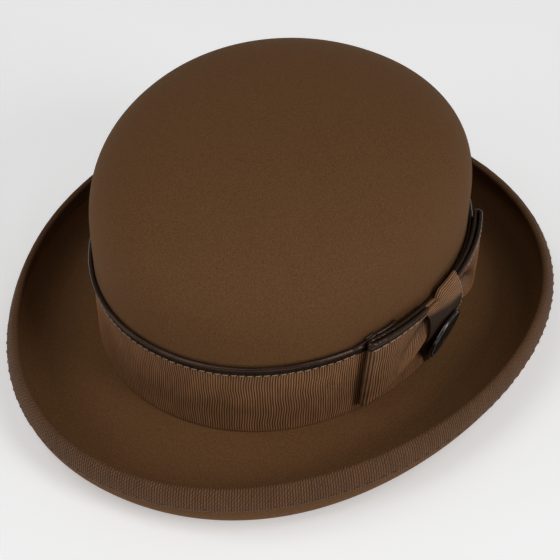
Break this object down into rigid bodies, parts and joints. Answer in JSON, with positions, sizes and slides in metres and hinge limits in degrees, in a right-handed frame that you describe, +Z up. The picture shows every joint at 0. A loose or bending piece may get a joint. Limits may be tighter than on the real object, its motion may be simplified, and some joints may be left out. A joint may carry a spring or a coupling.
{
  "type": "bowler hat",
  "caption": "Bowler hat with a round felt crown, rolled bound brim, piped ribbon band, side bow with pull-out badge, sweatband and lining.",
  "frame": {"origin": "on the surface the hat stands on, under the middle of its outline", "axes": "+Z up, the front of the hat faces -Y, the bow on the wearer's left is +X"},
  "size_m": [0.2658, 0.303, 0.1365],
  "materials": {
    "felt": "fine brown fur felt, matt with a soft nap",
    "binding": "brown grosgrain ribbon, satin",
    "binding_thread": "dark brown sewing thread",
    "ribbon": "ribbed brown grosgrain ribbon, satin",
    "piping": "smooth dark brown leather, glossy",
    "cord": "cotton filler cord",
    "thread": "beige sewing thread",
    "badge": "black enamel, polished",
    "badge_metal": "plain nickel",
    "sweatband": "brown sweatband leather, satin",
    "reed": "woven tape over a plastic reed",
    "tab": "blank woven tab",
    "lining": "golden brown satin",
    "shield": "clear flexible film"
  },
  "bodies": {
    "hat": {"felt_body": "felt", "brim_binding": "binding", "binding_stitches": "binding_thread", "hat_band": "ribbon", "band_piping": "piping", "piping_cord": "cord", "band_stitches": "thread", "bow_tail": "ribbon", "bow_front_loop": "ribbon", "bow_front_piping": "piping", "bow_rear_loop": "ribbon", "bow_rear_piping": "piping", "bow_knot": "ribbon", "bow_stitches": "thread", "badge_clutch": "badge_metal", "sweatband": "sweatband", "sweatband_reed": "reed", "sweatband_stitches": "binding_thread", "sweatband_bow": "binding", "size_tab": "tab", "lining_side": "lining", "lining_tip": "lining", "lining_cord": "lining", "tip_shield": "shield"},
    "badge": {"badge_disc": "badge", "badge_rim": "badge", "badge_post": "badge_metal"}
  },
  "joints": [
    {"name": "badge_pull", "type": "slide", "parent": "hat", "child": "badge", "axis": [0.9659, 0, -0.2588], "range_m": [0, 0.012]}
  ]
}
